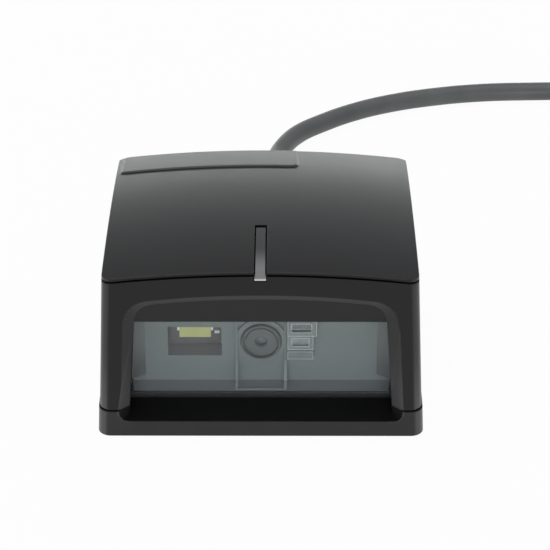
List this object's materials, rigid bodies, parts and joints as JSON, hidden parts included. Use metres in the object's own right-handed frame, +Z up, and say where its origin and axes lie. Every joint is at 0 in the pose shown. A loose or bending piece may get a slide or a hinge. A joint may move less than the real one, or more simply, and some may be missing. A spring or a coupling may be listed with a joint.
{
  "type": "fixed barcode reader",
  "caption": "Compact fixed barcode reader with a domed roof, a hooded tilted window over an imaging engine, an indicator light pipe and a coiled data cable.",
  "frame": {"origin": "middle of the underside of the base, which stands on the floor", "axes": "+Z up, -Y out of the window, +X to the right as seen from the front"},
  "size_m": [0.1457, 0.1169, 0.0291],
  "materials": {
    "housing": "fine moulded texture, satin",
    "window": "clear coated pane",
    "gasket": "foam",
    "light_pipe": "smoked translucent",
    "chassis": "moulded",
    "aimer": "moulded",
    "lens_mount": "moulded, satin",
    "lens": "coated",
    "board": "solder mask",
    "chip": "moulded compound",
    "lamp": "white package",
    "phosphor": "silicone fill",
    "terminal": "tinned",
    "screw": "zinc plated",
    "insert": "turned",
    "ribbon": "polyimide",
    "socket": "moulded",
    "relief": "moulded, satin",
    "cable": "satin jacket",
    "tie": "hook and loop",
    "plug_grip": "overmoulded",
    "plug_shell": "nickel plated",
    "plug_insert": "moulded"
  },
  "bodies": {
    "root": {"base_tray": "housing", "main_housing": "housing", "top_cover": "housing", "window_pane": "window", "window_gasket": "gasket", "light_pipe": "light_pipe", "engine_chassis": "chassis", "aimer_holder": "aimer", "lens_barrel": "lens_mount", "lens_holder": "lens_mount", "lens_element": "lens", "aimer_lens": "lens", "sensor_board": "board", "lamp_board": "board", "decoder_board": "board", "decoder_chips": "chip", "image_sensor": "chip", "chip_resistors": "chip", "beeper": "chip", "lamp_package": "lamp", "indicator_lamp": "lamp", "aimer_lamp": "lamp", "lamp_phosphor": "phosphor", "lamp_terminals": "terminal", "holder_screws": "screw", "lamp_screws": "screw", "engine_screws": "screw", "board_screws": "screw", "case_screws": "screw", "mount_inserts": "insert", "flex_ribbon": "ribbon", "flex_sockets": "socket", "cable_header": "socket", "wire_harness": "socket", "strain_relief": "relief", "cable_run": "cable", "cable_coil": "cable", "cable_tail": "cable", "coil_ties": "tie", "plug_grip": "plug_grip", "plug_shell": "plug_shell", "plug_insert": "plug_insert"}
  },
  "joints": []
}
